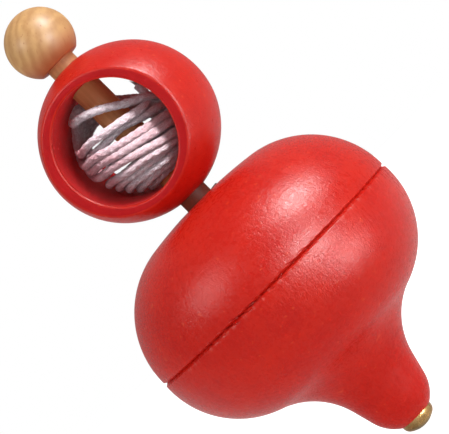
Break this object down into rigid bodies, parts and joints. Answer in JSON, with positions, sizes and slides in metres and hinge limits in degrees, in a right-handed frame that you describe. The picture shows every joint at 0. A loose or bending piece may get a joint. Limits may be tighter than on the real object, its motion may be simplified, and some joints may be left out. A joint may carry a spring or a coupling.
{
  "type": "pull-cord spinning top",
  "caption": "Turned wooden spinning top with a dowel spindle, a hollow ball handle with a wound cord, a round knob and a domed metal tip.",
  "frame": {"origin": "the point that the top spins on, at the apex of the nail's dome", "axes": "+Z along the spin axis from the tip to the knob, +Y along the handle's cross hole, +X to its right"},
  "size_m": [0.0578, 0.0578, 0.1076],
  "materials": {
    "red_lacquer": "satin red lacquer on turned wood",
    "knob_wood": "clear satin varnish on pale wood",
    "spindle_wood": "bare smooth dowel",
    "brass_nail": "polished dome, lightly scratched",
    "cotton_cord": "braided cotton, off-white"
  },
  "bodies": {
    "handle": {"handle_ball": "red_lacquer"},
    "cord": {"cord_coil": "cotton_cord", "cord_end": "cotton_cord"},
    "top": {"spindle": "spindle_wood", "knob": "knob_wood", "body_upper": "red_lacquer", "body_lower": "red_lacquer", "tip_nail": "brass_nail"}
  },
  "joints": [
    {"name": "spin", "type": "hinge", "parent": "handle", "child": "cord", "pos_m": [0, 0, 0.0775], "axis": [0, 0, 1], "continuous": true},
    {"name": "float", "type": "slide", "parent": "cord", "child": "top", "axis": [0, 0, 1], "range_m": [-0.0017, 0.0018]}
  ]
}
